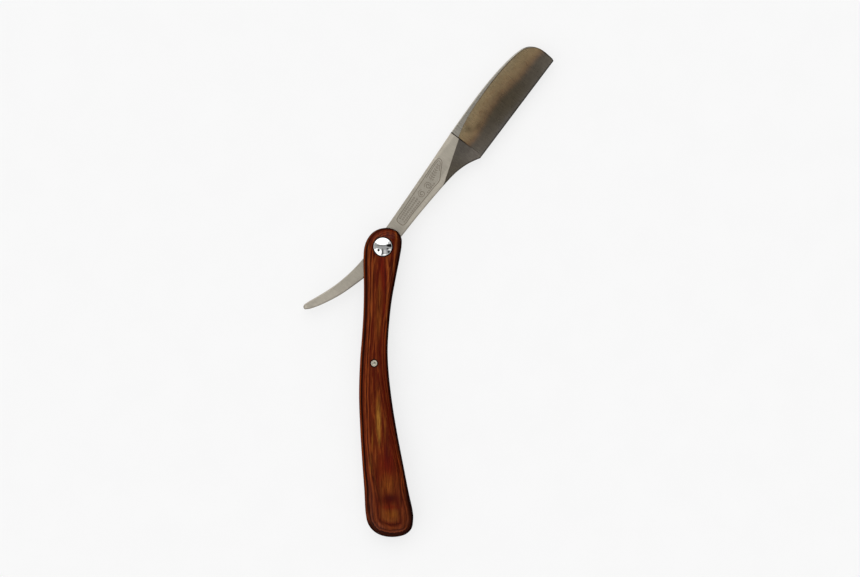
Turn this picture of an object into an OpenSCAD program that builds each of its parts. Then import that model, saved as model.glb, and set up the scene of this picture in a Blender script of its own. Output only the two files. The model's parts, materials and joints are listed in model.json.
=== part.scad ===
// Folding straight razor: a hollow-ground blade welded to a tang with a long
// curved tail, swinging between two laminated-wood scales on a screw pivot.
// Millimetres. The razor lies on its back scale: +Z points out of the front
// scale, +Y from the handle towards the pivot end, and the origin is on the
// pivot axis in the plane that the razor rests on.

/* [Handle] */
// Thickness of each scale in the middle of its face
scale_t = 3.2; // [2.8:0.1:4]
// Thickness of each scale at its rim, before the face starts to crown
scale_rim_t = 1.2; // [0.8:0.1:1.8]
// Width of the crowned band round the flat of each scale
crown_w = 4.5; // [3:0.5:5]
// How full the crown is: 1 is a plain bevel, 3 is a blunt round
crown_power = 1.7; // [1.2:0.1:3]
// Slot between the scales, which takes the blade
slot_w = 4; // [3.8:0.1:5]

/* [Blade] */
// Angle of the cutting edge from the +X axis in the stored pose
open_angle = 53; // [0:1:180]
// Thickness of the tang, shank and tail
tang_t = 3.3; // [2.8:0.1:3.4]
// Greatest thickness of the blade, along its back
back_t = 4.4; // [3.8:0.1:5]
// Radius of the grinding wheel that leaves the hollow
hollow_r = 80; // [76:1:90]
// Thickness left at the foot of the hollow, before the cutting bevel
edge_t = 0.16; // [0.12:0.02:0.3]
// Width of the honed cutting bevel
bevel_w = 0.4; // [0.3:0.05:0.6]

/* [Pivot] */
// Diameter of the barrel's domed head and of the screw's flat head
head_d = 9.4; // [8:0.2:9.8]
// Rise of the barrel head's dome above its rim
dome_h = 0.8; // [0.3:0.1:1.2]
// Depth that both heads are let into the scales
recess = 1.2; // [0.8:0.1:1.5]
// Outside diameter of the barrel, on which the tang turns
barrel_d = 4.5; // [4.2:0.1:5]
// Diameter of the screw's shank
stud_d = 3; // [2.5:0.1:3]
// Thickness of each thrust washer
washer_t = 0.3; // [0.2:0.05:0.3]

/* [Middle pin] */
// Diameter of the pin's riveted heads
pin_head_d = 3.3; // [2.8:0.1:3.6]
// Diameter of the pin itself
pin_d = 2.4; // [1.8:0.1:2.6]
// Outside diameter of the sleeve that spaces the scales and stops the shank
sleeve_d = 4; // [3.4:0.1:4.4]

/* [Heel wedge] */
// Distance from the pivot to the wedge's inner end
wedge_from = 131; // [129:0.5:134]

/* [Hidden] */
$fn = 96;
fit = 0.02;                     // seat of one fixed piece in another
run = 0.05;                     // running clearance on the barrel and the washers
z_in = scale_t;                 // inner face of the back scale
z_mid = scale_t + slot_w / 2;   // plane of symmetry
z_top = 2 * scale_t + slot_w;   // outer face of the front scale
pin_at = [-4.3, -58];
weld_x = 66.2;                  // butt weld between tang and blade
edge_y = -12.1;                 // cutting edge, in the blade's own frame

// Handle outline, clockwise from the top of the pivot end
handle_knots = [[1.5, 9.5], [5, 8.9], [7.7, 7.2], [9.2, 4.5], [9.3, 0.8], [8.4, -5], [6.3, -15.8],
    [4.3, -27], [2.9, -40], [2.3, -52], [2.9, -64], [4.7, -79], [7.2, -94], [10.2, -109.5], [13, -123.8],
    [14.8, -132], [15.1, -136.3], [14.2, -140.6], [11.2, -143.4], [5, -144.7], [-1, -143.8],
    [-5.2, -141.2], [-7.6, -137.6], [-8.6, -132.8], [-9.3, -121], [-10.3, -107.5], [-11.3, -91],
    [-11.9, -74], [-11.4, -57], [-10.4, -44], [-9.7, -32], [-9.5, -20], [-9.7, -6.5], [-9.3, -0.5],
    [-7.9, 3.6], [-5.4, 6.9], [-2.2, 8.8]];

// Tang outline in the blade's own frame: back of the tail round to the weld ...
tang_back = [[-48.5, 12.5], [-48, 13.6], [-46.8, 14.1], [-45, 13.6], [-40, 11.5], [-34, 9.1],
    [-28, 7.15], [-20, 5.4], [-12, 4.5], [0, 4.4], [13, 4.75], [34, 5.6], [52, 6.5], [66.2, 7.3]];
// ... and from the heel back along the belly of the shank to the tail
tang_belly = [[64.7, -12.1], [61.6, -10.3], [58, -8.6], [54, -7.3], [50, -6.45], [45, -5.9], [34, -5.1],
    [22, -4.5], [10, -4.2], [0, -3.9], [-9, -3.2], [-17, -1.9], [-24, 0], [-31, 2.3], [-37, 4.9],
    [-43, 8.1], [-46.6, 10.5]];
// Blade outline: the back from the weld to the nose, then down to the toe
blade_back = [[66.2, 7.3], [72, 7.5], [80, 7.7], [89, 7.8], [97, 7.65], [104, 7.2], [110, 6.55],
    [115, 5.75], [119, 4.75], [122, 3.5], [124, 1.9], [125.5, -0.4], [126.4, -3], [126.6, -6],
    [126.4, -9], [126.1, -11.2], [125.6, -12.1]];

// Point at u from 0 to 1 between p1 and p2 on a centripetal Catmull-Rom curve
function span(a, b) = pow(norm(b - a), 0.5);
function mix(a, b, ta, tb, t) = a * ((tb - t) / (tb - ta)) + b * ((t - ta) / (tb - ta));
function curve_at(p0, p1, p2, p3, u) =
    let (t0 = 0, t1 = span(p0, p1), t2 = t1 + span(p1, p2), t3 = t2 + span(p2, p3), t = t1 + u * (t2 - t1),
         a1 = mix(p0, p1, t0, t1, t), a2 = mix(p1, p2, t1, t2, t), a3 = mix(p2, p3, t2, t3, t),
         b1 = mix(a1, a2, t0, t2, t), b2 = mix(a2, a3, t1, t3, t))
    mix(b1, b2, t1, t2, t);
// Closed curve through k, n points a span
function ring_curve(k, n) = let (m = len(k))
    [for (i = [0 : m - 1], j = [0 : n - 1])
        curve_at(k[(i + m - 1) % m], k[i], k[(i + 1) % m], k[(i + 2) % m], j / n)];
// Open curve through k, with its ends led on straight
function open_curve(k, n) = let (m = len(k))
    [for (i = [0 : m - 2], j = [0 : n - 1])
        curve_at(i == 0 ? 2 * k[0] - k[1] : k[i - 1], k[i], k[i + 1],
                 i == m - 2 ? 2 * k[m - 1] - k[m - 2] : k[i + 2], j / n), k[m - 1]];
// Clockwise outline p moved inwards by d
function inward(p, d) = let (m = len(p))
    [for (i = [0 : m - 1]) let (t = p[(i + 1) % m] - p[(i + m - 1) % m], u = t / norm(t))
        p[i] + d * [u[1], -u[0]]];

handle_line = ring_curve(handle_knots, 3);
tang_line = concat(open_curve(tang_back, 4), [[weld_x, edge_y]], open_curve(tang_belly, 4));
blade_line = concat(open_curve(blade_back, 4), [[weld_x, edge_y]]);

// Height of the crown above the rim at a distance d in from the outline
function crown(d) = (scale_t - scale_rim_t) * (1 - pow(1 - min(d, crown_w) / crown_w, crown_power));
steps = [0, 0.06, 0.16, 0.32, 0.54, 0.77, 1];

// One scale, outer face down on z = 0. Each flat is a strip of triangles laid
// across from one long side to the other, so that it keeps to the waist
module scale_blank() {
    m = len(handle_line);
    rings = concat([[for (p = handle_line) [p[0], p[1], scale_t]]],
        [for (s = steps) [for (p = inward(handle_line, s * crown_w))
            [p[0], p[1], scale_t - scale_rim_t - crown(s * crown_w)]]]);
    k = len(rings);
    last = (k - 1) * m;
    polyhedron([for (r = rings) each r], concat(
        [for (i = [0 : m - 1]) each let (a = i, b = i + 1, c = m - 1 - i, d = m - i)
            b < c ? [[a, b, c], each (d < m ? [[a, c, d]] : [])] : b == c && d < m ? [[a, b, d]] : []],
        [for (r = [0 : k - 2], i = [0 : m - 1]) each let (a = r * m + i, b = r * m + (i + 1) % m)
            [[a, a + m, b], [b, a + m, b + m]]],
        [for (i = [0 : m - 1]) each let (a = i, b = i + 1, c = m - 1 - i, d = m - i)
            b < c ? [[last + c, last + b, last + a], each (d < m ? [[last + d, last + c, last + a]] : [])]
            : b == c && d < m ? [[last + d, last + b, last + a]] : []]));
}

// A scale with its pivot hole and recess, and its pin hole
module bored_scale() {
    difference() {
        scale_blank();
        translate([0, 0, -1]) cylinder(d = barrel_d + 2 * fit, h = scale_t + 2);
        translate([0, 0, -1]) cylinder(d = head_d + 0.4, h = recess + 1);
        translate([pin_at[0], pin_at[1], -1]) cylinder(d = pin_d + 2 * fit, h = scale_t + 2);
        translate([pin_at[0], pin_at[1], -1]) cylinder(d = pin_head_d + 2 * fit, h = 1.5);
    }
}

module back_scale() { color([0.42, 0.17, 0.07]) bored_scale(); }

module front_scale() {
    color([0.42, 0.17, 0.07]) translate([0, 0, z_top]) mirror([0, 0, 1]) bored_scale();
}

// Spacer at the wide end, flush with the scales, scooped where the toe swings in
module heel_wedge() {
    color([0.07, 0.06, 0.06]) difference() {
        intersection() {
            translate([0, 0, z_in]) linear_extrude(slot_w) polygon(inward(handle_line, 0.1));
            translate([-30, -160, 0]) cube([60, 160 - wedge_from, 20]);
        }
        translate([3.5, -wedge_from + 13, 0]) cylinder(r = 16, h = 20);
    }
}

// Mirror-polished domed head let into the front scale, on the barrel that is
// the axle; the barrel is bored blind for the screw
module pivot_barrel() {
    seat = z_top - recess;
    dome_r = (pow(head_d / 2, 2) + dome_h * dome_h) / (2 * dome_h);
    color([0.85, 0.86, 0.87]) difference() {
        union() {
            intersection() {
                translate([0, 0, seat]) cylinder(d = head_d, h = recess + dome_h + 1);
                translate([0, 0, z_top + dome_h - dome_r]) sphere(r = dome_r, $fn = 192);
            }
            translate([0, 0, recess + 0.2]) cylinder(d = barrel_d, h = seat - recess);
        }
        translate([0, 0, 0]) cylinder(d = stud_d + 2 * fit, h = seat - 0.4);
    }
}

// Flush screw in the back scale, with two holes in its head for a pin spanner
module pivot_screw() {
    color([0.78, 0.79, 0.8]) difference() {
        union() {
            cylinder(d = head_d, h = recess);
            cylinder(d = stud_d, h = z_top - recess - 0.8);
        }
        for (s = [-1, 1]) translate([3.1 * s, 0, -1]) cylinder(d = 1.1, h = 1.7, $fn = 32);
    }
}

module thrust_washer(z) {
    color([0.75, 0.58, 0.33]) translate([0, 0, z]) difference() {
        cylinder(d = head_d - 0.4, h = washer_t);
        translate([0, 0, -1]) cylinder(d = barrel_d + 2 * fit, h = 3);
    }
}

module front_thrust_washer() { thrust_washer(z_in + slot_w - washer_t); }

module back_thrust_washer() { thrust_washer(z_in); }

// Pin riveted over at both ends, with a punch mark in each head
module middle_pin() {
    color([0.72, 0.7, 0.63]) translate([pin_at[0], pin_at[1], 0]) difference() {
        union() {
            translate([0, 0, 0.05]) cylinder(d = pin_d, h = z_top - 0.1);
            for (z = [0.05, z_top - 0.5]) translate([0, 0, z]) cylinder(d = pin_head_d, h = 0.45);
        }
        for (z = [-0.2, z_top + 0.2]) translate([0, 0, z]) sphere(r = 0.65, $fn = 48);
    }
}

module stop_sleeve() {
    color([0.72, 0.7, 0.63]) translate([pin_at[0], pin_at[1], z_in]) difference() {
        cylinder(d = sleeve_d, h = slot_w);
        translate([0, 0, -1]) cylinder(d = pin_d + 2 * fit, h = slot_w + 2);
    }
}

// Sets what is drawn in the blade's own frame, centred on z = 0, into its place
module swung() { translate([0, 0, z_mid]) rotate(open_angle) children(); }

// Shank, tail and heel. The grind runs out along a slanting line from the belly
shoulder_turn = 18.7;
shoulder_r = 52;
module tang() {
    color([0.66, 0.63, 0.57]) swung() difference() {
        translate([0, 0, -tang_t / 2]) linear_extrude(tang_t) polygon(tang_line);
        for (s = [-1, 1]) translate([49.5, -16.7, s * (shoulder_r + 0.1)]) rotate([0, 0, shoulder_turn])
            rotate([0, 90, 0]) cylinder(r = shoulder_r, h = 120, center = true, $fn = 256);
        cylinder(d = barrel_d + 2 * run, h = 20, center = true);
    }
}

// Line where the hollow meets the flat strip along the back, from the weld round the nose
crease_knots = [[66.2, 2.8], [71, 4.15], [75, 4.85], [80, 5.5], [87, 6], [94, 6.2], [101, 6.15], [108, 5.75],
    [112, 5.35], [116, 4.8], [119, 4.15], [121.3, 3.3], [123, 2], [124.6, 0.3], [127, -2.5]];
crease_line = open_curve(crease_knots, 2);
// Half the thickness that the wheel leaves at y, and that of the strip at a point of the crease
function hollow_half(y) = edge_t / 2 + hollow_r - sqrt(pow(hollow_r, 2) - pow(y - edge_y, 2));
function back_half(p) = back_t / 2 - hollow_half(6.2) + hollow_half(p[1]);

// Hollow-ground blade: outline and side profile, both faces dished by the wheel
module blade() {
    color([0.5, 0.45, 0.37]) swung() difference() {
        intersection() {
            translate([0, 0, -5]) linear_extrude(10) polygon(blade_line);
            rotate([90, 0, 0]) linear_extrude(60, center = true) polygon(concat(
                [for (p = crease_line) [p[0], back_half(p)]],
                [for (i = [len(crease_line) - 1 : -1 : 0]) [crease_line[i][0], -back_half(crease_line[i])]]));
        }
        for (s = [-1, 1]) {
            translate([96, edge_y, s * (hollow_r + edge_t / 2)]) rotate([0, 90, 0])
                cylinder(r = hollow_r, h = 120, center = true, $fn = 256);
            translate([96, edge_y, s * 0.02]) rotate([s * atan((edge_t / 2 - 0.02) / bevel_w), 0, 0])
                translate([-60, -2, s > 0 ? 0 : -4]) cube([120, 2 + 3 * bevel_w, 4]);
        }
    }
}

front_scale();
back_scale();
heel_wedge();
pivot_barrel();
pivot_screw();
front_thrust_washer();
back_thrust_washer();
middle_pin();
stop_sleeve();
tang();
blade();
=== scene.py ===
import json
import math

import bpy
import numpy as np
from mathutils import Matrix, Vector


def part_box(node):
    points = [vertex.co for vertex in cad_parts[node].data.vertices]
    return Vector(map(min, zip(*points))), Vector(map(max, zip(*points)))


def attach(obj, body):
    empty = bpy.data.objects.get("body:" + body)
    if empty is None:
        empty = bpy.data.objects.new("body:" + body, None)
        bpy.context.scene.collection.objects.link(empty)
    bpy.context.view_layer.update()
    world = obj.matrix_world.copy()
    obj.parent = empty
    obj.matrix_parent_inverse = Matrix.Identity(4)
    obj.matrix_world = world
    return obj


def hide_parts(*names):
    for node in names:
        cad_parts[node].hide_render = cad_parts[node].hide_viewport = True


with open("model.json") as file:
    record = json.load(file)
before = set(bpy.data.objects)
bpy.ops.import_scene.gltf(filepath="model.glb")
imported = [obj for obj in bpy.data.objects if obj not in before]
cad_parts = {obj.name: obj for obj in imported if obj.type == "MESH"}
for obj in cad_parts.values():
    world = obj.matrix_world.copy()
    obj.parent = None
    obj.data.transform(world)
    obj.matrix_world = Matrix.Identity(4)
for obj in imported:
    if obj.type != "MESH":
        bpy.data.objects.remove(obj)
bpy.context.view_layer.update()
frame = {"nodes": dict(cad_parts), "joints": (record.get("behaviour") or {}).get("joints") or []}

MM = 0.001
joint = next(j for j in frame["joints"] if j["name"] == "blade_pivot")
PIVOT = [c / MM for c in joint["pos_m"][:2]]
INNER_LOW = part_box("back_scale")[1].z / MM      # inner faces of the two scales
INNER_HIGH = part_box("front_scale")[0].z / MM
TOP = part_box("front_scale")[1].z / MM           # outer face of the front scale
MID = (INNER_LOW + INNER_HIGH) / 2
SCALE_T = TOP - INNER_HIGH
PIN = [(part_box("middle_pin")[0][i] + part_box("middle_pin")[1][i]) / 2 / MM for i in (0, 1)]
OPEN = math.radians(53)                         # cutting edge from +X in the stored pose
TURN, GRIND = math.radians(18.7), (49.5, 16.7)  # slant and foot of the grind on the tang
EDGE_Y, WELD_X = -12.1, 66.2

# ---------------------------------------------------------------- outlines, in millimetres

HANDLE = [[1.5, 9.5], [5, 8.9], [7.7, 7.2], [9.2, 4.5], [9.3, 0.8], [8.4, -5], [6.3, -15.8],
    [4.3, -27], [2.9, -40], [2.3, -52], [2.9, -64], [4.7, -79], [7.2, -94], [10.2, -109.5], [13, -123.8],
    [14.8, -132], [15.1, -136.3], [14.2, -140.6], [11.2, -143.4], [5, -144.7], [-1, -143.8],
    [-5.2, -141.2], [-7.6, -137.6], [-8.6, -132.8], [-9.3, -121], [-10.3, -107.5], [-11.3, -91],
    [-11.9, -74], [-11.4, -57], [-10.4, -44], [-9.7, -32], [-9.5, -20], [-9.7, -6.5], [-9.3, -0.5],
    [-7.9, 3.6], [-5.4, 6.9], [-2.2, 8.8]]
TANG_BACK = [[-48.5, 12.5], [-48, 13.6], [-46.8, 14.1], [-45, 13.6], [-40, 11.5], [-34, 9.1],
    [-28, 7.15], [-20, 5.4], [-12, 4.5], [0, 4.4], [13, 4.75], [34, 5.6], [52, 6.5], [66.2, 7.3]]
TANG_BELLY = [[64.7, -12.1], [61.6, -10.3], [58, -8.6], [54, -7.3], [50, -6.45], [45, -5.9], [34, -5.1],
    [22, -4.5], [10, -4.2], [0, -3.9], [-9, -3.2], [-17, -1.9], [-24, 0], [-31, 2.3], [-37, 4.9],
    [-43, 8.1], [-46.6, 10.5]]
BLADE_BACK = [[66.2, 7.3], [72, 7.5], [80, 7.7], [89, 7.8], [97, 7.65], [104, 7.2], [110, 6.55],
    [115, 5.75], [119, 4.75], [122, 3.5], [124, 1.9], [125.5, -0.4], [126.4, -3], [126.6, -6],
    [126.4, -9], [126.1, -11.2], [125.6, -12.1]]
# where the hollow meets the flat strip along the blade's back
CREASE = [[66.2, 2.8], [71, 4.15], [75, 4.85], [80, 5.5], [87, 6], [94, 6.2], [101, 6.15], [108, 5.75],
    [112, 5.35], [116, 4.8], [119, 4.15], [121.3, 3.3], [123, 2], [124.6, 0.3], [127, -2.5]]


def catmull(p0, p1, p2, p3, n):
    """n points from p1 towards p2 on the centripetal curve through the four."""
    def gap(a, b):
        return np.linalg.norm(b - a) ** 0.5
    t1 = gap(p0, p1); t2 = t1 + gap(p1, p2); t3 = t2 + gap(p2, p3)
    t = (t1 + np.arange(n) / n * (t2 - t1))[:, None]
    def mix(a, b, ta, tb):
        return a * (tb - t) / (tb - ta) + b * (t - ta) / (tb - ta)
    a1, a2, a3 = mix(p0, p1, 0, t1), mix(p1, p2, t1, t2), mix(p2, p3, t2, t3)
    return mix(mix(a1, a2, 0, t2), mix(a2, a3, t1, t3), t1, t2)


def smooth_line(knots, n=24, closed=False):
    k = [np.array(p, float) for p in knots]
    m = len(k)
    if closed:
        return np.concatenate([catmull(k[i - 1], k[i], k[(i + 1) % m], k[(i + 2) % m], n) for i in range(m)])
    spans = [catmull(k[i - 1] if i else 2 * k[0] - k[1], k[i], k[i + 1],
                     k[i + 2] if i < m - 2 else 2 * k[-1] - k[-2], n) for i in range(m - 1)]
    return np.concatenate(spans + [k[-1][None]])


def at_fractions(line, f):
    """Points of an open polyline at fractions f of its length."""
    s = np.r_[0, np.cumsum(np.linalg.norm(np.diff(line, axis=0), axis=1))]
    f = np.asarray(f, float) * s[-1]
    return np.stack([np.interp(f, s, line[:, i]) for i in range(line.shape[1])], -1)


def coons(bottom, top, left, right, u, v):
    """Surface patch between four side curves (functions of a fraction), at arrays u and v."""
    u, v = np.broadcast_arrays(np.asarray(u, float), np.asarray(v, float))
    U, V = u[..., None], v[..., None]
    c00, c10, c01, c11 = bottom(np.array([0.0]))[0], bottom(np.array([1.0]))[0], top(np.array([0.0]))[0], top(np.array([1.0]))[0]
    def ev(line, q):
        return line(q.ravel()).reshape(q.shape + (2,))
    return ((1 - V) * ev(bottom, u) + V * ev(top, u) + (1 - U) * ev(left, v) + U * ev(right, v)
            - (1 - U) * (1 - V) * c00 - U * (1 - V) * c10 - (1 - U) * V * c01 - U * V * c11)


def inset(ring, d):
    """Closed anticlockwise ring moved inwards by d, which may vary along it."""
    nxt, prv = np.roll(ring, -1, 0) - ring, ring - np.roll(ring, 1, 0)
    nxt /= np.maximum(np.linalg.norm(nxt, axis=1), 1e-9)[:, None]
    prv /= np.maximum(np.linalg.norm(prv, axis=1), 1e-9)[:, None]
    n1, n2 = np.c_[-nxt[:, 1], nxt[:, 0]], np.c_[-prv[:, 1], prv[:, 0]]
    n = n1 + n2
    n /= np.maximum(np.linalg.norm(n, axis=1), 1e-9)[:, None]
    stretch = 1 / np.maximum((n * n1).sum(1), 0.5)
    return ring + n * (np.broadcast_to(d, (len(ring),)) * stretch)[:, None]


crease_line = smooth_line(CREASE, 8)


def distance_to(points, line, closed=True):
    """Distance from each point to a polyline."""
    a, b = (line, np.roll(line, -1, 0)) if closed else (line[:-1], line[1:])
    ab = b - a
    out = np.full(len(points), 1e9)
    for lo in range(0, len(points), 2000):
        p = points[lo:lo + 2000, None]
        t = np.clip(((p - a) * ab).sum(-1) / np.maximum((ab * ab).sum(-1), 1e-12), 0, 1)
        out[lo:lo + 2000] = np.sqrt((((a + ab * t[..., None]) - p) ** 2).sum(-1).min(1))
    return out


def mesh_piece(name, verts, faces, body, material, replaces=(), angle=28):
    me = bpy.data.meshes.new(name)
    me.from_pydata([tuple(c * MM for c in v) for v in verts], [], faces)
    me.validate()
    me.update()
    ob = bpy.data.objects.new(name, me)
    bpy.context.scene.collection.objects.link(ob)
    me.materials.append(material)
    smooth(ob, angle)
    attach(ob, body)
    if replaces:
        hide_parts(*replaces)
    return ob


def keep_rim(ob, line, closed, turned):
    """Keeps each vertex's distance from the outline, in millimetres, for the material to read."""
    co = np.empty(len(ob.data.vertices) * 3, np.float32)
    ob.data.vertices.foreach_get("co", co)
    p = co.reshape(-1, 3)[:, :2].astype(float) / MM - PIVOT
    if turned:
        p = np.c_[p[:, 0] * math.cos(OPEN) + p[:, 1] * math.sin(OPEN), p[:, 1] * math.cos(OPEN) - p[:, 0] * math.sin(OPEN)]
    at = ob.data.attributes.new("rim", "FLOAT", "POINT")
    at.data.foreach_set("value", distance_to(p, line, closed).astype(np.float32))


def smooth(ob, angle=28):
    me = ob.data
    me.polygons.foreach_set("use_smooth", [True] * len(me.polygons))
    me.set_sharp_from_angle(angle=math.radians(angle))
    me.update()


def plate(bottom, top, left, right, u, v_of, radius, zt, zb, round_steps=5):
    """Closed solid over the outline of four side curves, in plan anticlockwise: bottom and top run the
    same way, and left and right join them. zt and zb give the faces, and the rim is rounded by radius."""
    n = len(u)
    v_left, v_right = v_of(0, None), v_of(n - 1, None)
    m = len(v_left)
    B, R, T, L = bottom(u), right(v_right), top(u), left(v_left)
    rim = np.concatenate([B[:-1], R[:-1], T[::-1][:-1], L[::-1][:-1]])
    k = len(rim)
    half = (zt(rim) - zb(rim)) / 2
    r = np.minimum(radius(rim), 0.9 * half)
    th = np.linspace(0, math.pi / 2, round_steps + 1)
    rings = [inset(rim, r * (1 - math.cos(a))) for a in th]
    inner = rings[-1]
    sides = [inner[:n], inner[n - 1:n - 1 + m], inner[n + m - 2:2 * n + m - 2][::-1],
             np.concatenate([inner[2 * n + m - 3:], inner[:1]])[::-1]]
    def curve(q, pts):
        return lambda f: np.stack([np.interp(f, q, pts[:, i]) for i in (0, 1)], -1)
    b, t = curve(u, sides[0]), curve(u, sides[2])
    l, rr = curve(v_left, sides[3]), curve(v_right, sides[1])
    grid = np.zeros((n, m, 2))
    for i in range(n):
        v = v_left if i == 0 else v_right if i == n - 1 else v_of(i, lambda q, i=i: coons(b, t, l, rr, np.full(len(q), u[i]), q))
        grid[i] = coons(b, t, l, rr, np.full(m, u[i]), v)
    verts, faces = [], []
    def add(xy, z):
        start = len(verts)
        verts.extend(np.c_[xy, z].tolist())
        return start
    ids = {}
    for side, sign, z in (("t", 1, zt), ("b", -1, zb)):
        starts = []
        for a, ring in zip(th, rings):
            starts.append(add(ring, z(ring) - sign * r * (1 - math.sin(a))))
        g = add(grid[1:-1, 1:-1].reshape(-1, 2), z(grid[1:-1, 1:-1].reshape(-1, 2)))
        def gid(i, j, last=starts[-1], g=g):
            if j == 0: return last + i
            if i == n - 1: return last + n - 1 + j
            if j == m - 1: return last + n + m - 2 + (n - 1 - i)
            if i == 0: return last + (2 * n + m - 3 + (m - 1 - j)) % k
            return g + (i - 1) * (m - 2) + j - 1
        for a in range(round_steps):
            for i in range(k):
                q = [starts[a] + i, starts[a] + (i + 1) % k, starts[a + 1] + (i + 1) % k, starts[a + 1] + i]
                faces.append(q if sign > 0 else q[::-1])
        for i in range(n - 1):
            for j in range(m - 1):
                q = [gid(i, j), gid(i + 1, j), gid(i + 1, j + 1), gid(i, j + 1)]
                faces.append(q if sign > 0 else q[::-1])
        ids[side] = starts[0]
    for i in range(k):
        faces.append([ids["b"] + i, ids["b"] + (i + 1) % k, ids["t"] + (i + 1) % k, ids["t"] + i])
    return verts, faces


def lathe(profile, centre, segments=96):
    """Closed solid turned about a vertical axis: profile runs from the axis at the bottom, outwards and up to the axis."""
    verts, faces, rows = [], [], []
    for r, z in profile:
        if r < 1e-6:
            rows.append([len(verts)])
            verts.append((centre[0], centre[1], z))
        else:
            rows.append(list(range(len(verts), len(verts) + segments)))
            for s in range(segments):
                a = 2 * math.pi * s / segments
                verts.append((centre[0] + r * math.cos(a), centre[1] + r * math.sin(a), z))
    for lo, hi in zip(rows, rows[1:]):
        for s in range(segments):
            e = (s + 1) % segments
            if len(lo) == 1 and len(hi) == 1:
                continue
            if len(lo) == 1:
                faces.append([lo[0], hi[e], hi[s]])
            elif len(hi) == 1:
                faces.append([lo[s], lo[e], hi[0]])
            else:
                faces.append([lo[s], lo[e], hi[e], hi[s]])
    return verts, faces


# ---------------------------------------------------------------- node materials

class Nodes:
    """Short way to write a node tree."""
    def __init__(self, name):
        self.mat = bpy.data.materials.new(name)
        self.mat.use_nodes = True
        self.tree = self.mat.node_tree
        self.bsdf = self.tree.nodes["Principled BSDF"]

    def node(self, kind, **props):
        n = self.tree.nodes.new(kind)
        for k, v in props.items():
            setattr(n, k, v)
        return n

    def put(self, socket, value):
        if isinstance(value, bpy.types.NodeSocket):
            self.tree.links.new(value, socket)
        elif value is not None:
            socket.default_value = value

    def math(self, op, a, b=None, c=None, clamp=False):
        n = self.node("ShaderNodeMath", operation=op, use_clamp=clamp)
        for s, v in zip(n.inputs, (a, b, c)):
            self.put(s, v)
        return n.outputs[0]

    def millimetres(self, turn=0.0):
        """Object coordinates in millimetres, turned about Z into a piece's own frame."""
        tc = self.node("ShaderNodeTexCoord")
        m = self.node("ShaderNodeMapping", vector_type="POINT")
        self.put(m.inputs["Vector"], tc.outputs["Object"])
        m.inputs["Scale"].default_value = (1000, 1000, 1000)
        m.inputs["Rotation"].default_value = (0, 0, turn)
        return m.outputs[0]

    def xyz(self, v):
        n = self.node("ShaderNodeSeparateXYZ")
        self.put(n.inputs[0], v)
        return n.outputs

    def vector(self, x, y, z):
        n = self.node("ShaderNodeCombineXYZ")
        for s, v in zip(n.inputs, (x, y, z)):
            self.put(s, v)
        return n.outputs[0]

    def noise(self, v, scale=(1, 1, 1), detail=2.0, rough=0.5, shift=(0, 0, 0), distort=0.0):
        m = self.node("ShaderNodeMapping", vector_type="POINT")
        self.put(m.inputs["Vector"], v)
        m.inputs["Scale"].default_value = scale
        m.inputs["Location"].default_value = shift
        n = self.node("ShaderNodeTexNoise", noise_dimensions="3D")
        self.put(n.inputs["Vector"], m.outputs[0])
        n.inputs["Scale"].default_value = 1.0
        n.inputs["Detail"].default_value = detail
        n.inputs["Roughness"].default_value = rough
        n.inputs["Distortion"].default_value = distort
        return n.outputs["Fac"]

    def ramp(self, fac, stops, mode="LINEAR"):
        n = self.node("ShaderNodeValToRGB")
        n.color_ramp.interpolation = mode
        el = n.color_ramp.elements
        while len(el) < len(stops):
            el.new(0.5)
        for e, (p, c) in zip(el, stops):
            e.position = p
        for e, (p, c) in zip(sorted(el, key=lambda e: e.position), stops):
            e.color = (*c, 1) if len(c) == 3 else c
        self.put(n.inputs[0], fac)
        return n.outputs[0]

    def span(self, v, lo, hi, to_lo=0.0, to_hi=1.0, smooth=True):
        n = self.node("ShaderNodeMapRange", interpolation_type="SMOOTHSTEP" if smooth else "LINEAR", clamp=True)
        for s, x in zip(n.inputs, (v, lo, hi, to_lo, to_hi)):
            self.put(s, x)
        return n.outputs[0]

    def mix(self, fac, a, b, blend="MIX"):
        n = self.node("ShaderNodeMix", data_type="RGBA", blend_type=blend, clamp_factor=True)
        self.put(n.inputs["Factor"], fac)
        sockets = [s for s in n.inputs if s.type == "RGBA"]
        for s, v in zip(sockets, (a, b)):
            self.put(s, (*v, 1) if isinstance(v, tuple) and len(v) == 3 else v)
        return [s for s in n.outputs if s.type == "RGBA"][0]

    def scaled(self, colour, factor):
        """Colour times a number that may vary."""
        n = self.node("ShaderNodeVectorMath", operation="SCALE")
        self.put(n.inputs[0], colour)
        self.put(n.inputs["Scale"], factor)
        return n.outputs[0]

    def rim(self):
        """Distance from the piece's outline in millimetres, kept with the mesh."""
        return self.node("ShaderNodeAttribute", attribute_type="GEOMETRY", attribute_name="rim").outputs["Fac"]

    def curve(self, v, knots):
        """Broken line through knots (a, b), a rising, read at v."""
        k = np.array(knots, float)
        (a0, b0), (a1, b1) = k.min(0), k.max(0)
        n = self.node("ShaderNodeFloatCurve")
        pts = n.mapping.curves[0].points
        while len(pts) < len(k):
            pts.new(0.5, 0.5)
        for pt, (a, b) in zip(pts, k):
            pt.location = ((a - a0) / (a1 - a0), (b - b0) / (b1 - b0))
            pt.handle_type = "VECTOR"
        n.mapping.update()
        self.put(n.inputs["Value"], self.math("DIVIDE", self.math("SUBTRACT", v, float(a0)), float(a1 - a0), clamp=True))
        return self.math("MULTIPLY_ADD", n.outputs[0], float(b1 - b0), float(b0))

    def hump(self, x, y, cx, cy, rx, ry):
        """Smooth spot, 1 at its centre."""
        a = self.math("DIVIDE", self.math("SUBTRACT", x, cx), rx)
        b = self.math("DIVIDE", self.math("SUBTRACT", y, cy), ry)
        d = self.math("ADD", self.math("MULTIPLY", a, a), self.math("MULTIPLY", b, b))
        return self.math("POWER", 2.71828, self.math("MULTIPLY", d, -1.0))

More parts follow.
